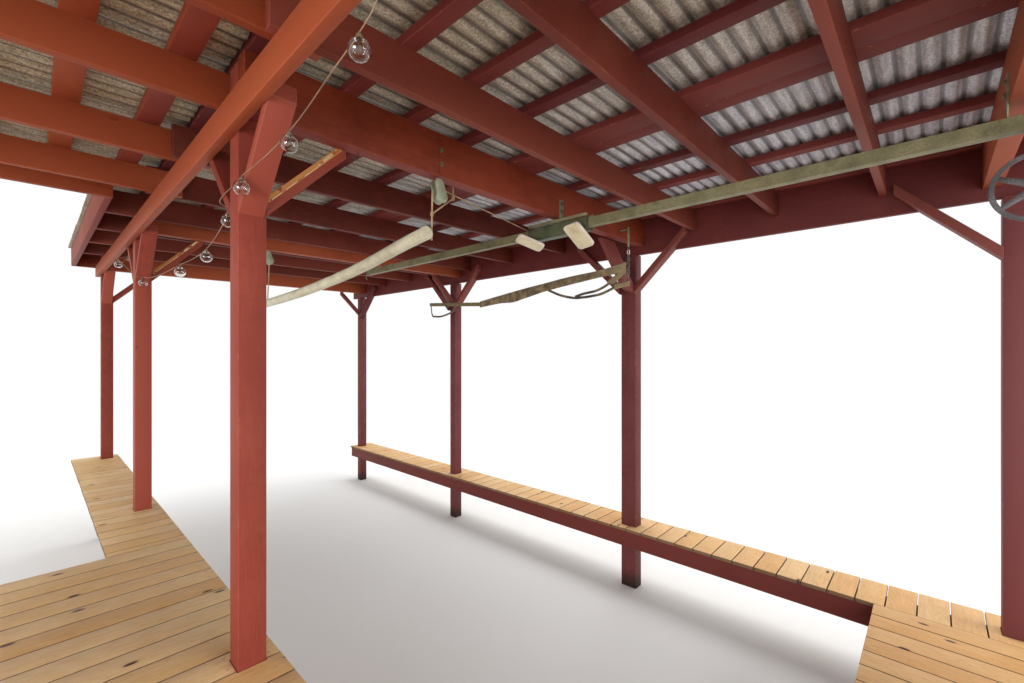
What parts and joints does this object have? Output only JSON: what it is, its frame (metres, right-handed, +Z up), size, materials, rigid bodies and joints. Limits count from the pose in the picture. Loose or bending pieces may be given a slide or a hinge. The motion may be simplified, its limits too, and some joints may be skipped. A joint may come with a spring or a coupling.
{
  "type": "open boathouse with deck, catwalk and hoist",
  "caption": "Open timber boathouse over a slip: square posts, low tin roof on rafters, side deck, cross deck, narrow catwalk and overhead hoist gear.",
  "frame": {"origin": "on the water line, midway between the two post rows of the slip and midway between its end post pairs", "axes": "+Z up, +Y along the slip towards its far end, +X across the slip from the wide deck to the catwalk"},
  "size_m": [5.7183, 8.1, 3.2862],
  "materials": {
    "painted_post": "barn red paint on sawn timber, matt",
    "painted_beam": "orange-red stain on rough timber, matt",
    "dark_red_fascia": "dark red paint on timber, matt",
    "deck_boards": "honey-coloured new pine, bare",
    "corrugated_tin": "weathered corrugated galvanised sheet",
    "olive_rail": "worn olive paint",
    "strap_steel": "weathered galvanised strap",
    "dark_housing": "dark enamel, dusty",
    "lamp_covers": "yellowed translucent cover",
    "wheel_iron": "dark painted iron",
    "block_steel": "weathered galvanised steel",
    "rope": "worn natural rope",
    "pale_pole": "yellowed pipe",
    "sling_webbing": "frayed webbing",
    "chain_steel": "rusty steel",
    "light_cord": "pale lead",
    "globe_glass": "clear globe"
  },
  "bodies": {
    "building": {"left_post_1": "painted_post", "left_post_2": "painted_post", "left_post_3": "painted_post", "left_post_4": "painted_post", "right_post_1": "painted_post", "right_post_2": "painted_post", "right_post_3": "painted_post", "right_post_4": "painted_post", "outer_post_1": "painted_post", "outer_post_2": "painted_post", "outer_post_3": "painted_post", "near_piles": "painted_post", "left_beam": "painted_beam", "eave_beam": "dark_red_fascia", "outer_beam": "painted_beam", "crossbeam_1": "painted_beam", "crossbeam_2": "painted_beam", "crossbeam_3": "painted_beam", "crossbeam_4": "painted_beam", "deck_crossbeams": "painted_beam", "slip_rafters": "painted_beam", "deck_rafters": "painted_beam", "slip_purlins": "painted_beam", "deck_purlins": "painted_beam", "slip_roof_sheets": "corrugated_tin", "deck_roof_sheets": "corrugated_tin", "end_boards": "painted_beam", "step_eave_board": "painted_beam", "left_braces": "painted_post", "right_braces": "painted_post", "cross_braces": "painted_post", "deck_boards": "deck_boards", "deck_joists": "painted_post", "deck_bearers": "painted_post", "catwalk_boards": "deck_boards", "catwalk_fascia": "dark_red_fascia", "catwalk_stringers": "dark_red_fascia", "cross_deck_boards": "deck_boards", "cross_deck_joists": "dark_red_fascia", "hoist_rail": "olive_rail", "rail_hangers": "strap_steel", "drive_housing": "dark_housing", "housing_lamps": "lamp_covers", "gear_box": "dark_housing", "pulley_block": "block_steel", "pole_ropes": "rope", "dock_pole": "pale_pole", "boat_sling": "sling_webbing", "sling_chain": "chain_steel", "light_cord": "light_cord", "light_bulbs": "globe_glass"},
    "wheel": {"drive_wheel": "wheel_iron"}
  },
  "joints": [
    {"name": "wheel_spin", "type": "hinge", "parent": "building", "child": "wheel", "pos_m": [0.263, -3.503, 2.68], "axis": [1, 0, 0], "continuous": true}
  ]
}
